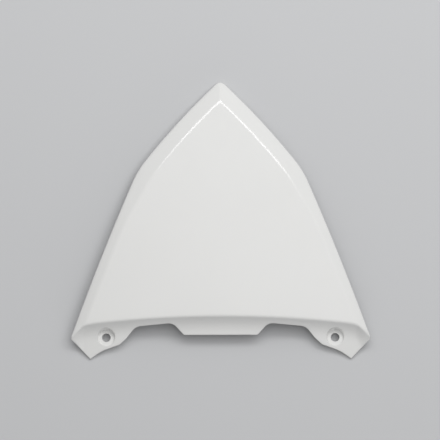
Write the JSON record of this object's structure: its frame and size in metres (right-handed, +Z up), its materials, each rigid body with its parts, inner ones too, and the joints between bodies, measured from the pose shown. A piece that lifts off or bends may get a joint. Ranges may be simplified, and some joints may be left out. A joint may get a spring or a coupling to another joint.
{
  "type": "scooter rear cover panel",
  "caption": "Arrow-shaped moulded rear cover panel for a scooter, with bevelled edges, a hollow lower flange and a screw seat in each ear.",
  "frame": {"origin": "on the ground, under the middle of the panel's length and width", "axes": "+X across the panel to its right ear, +Y towards its pointed end, +Z up, out of the painted face"},
  "size_m": [0.224, 0.208, 0.024],
  "materials": {
    "white_gloss_plastic": "gloss paint on moulded plastic"
  },
  "bodies": {
    "root": {"rear_cover": "white_gloss_plastic"}
  },
  "joints": []
}
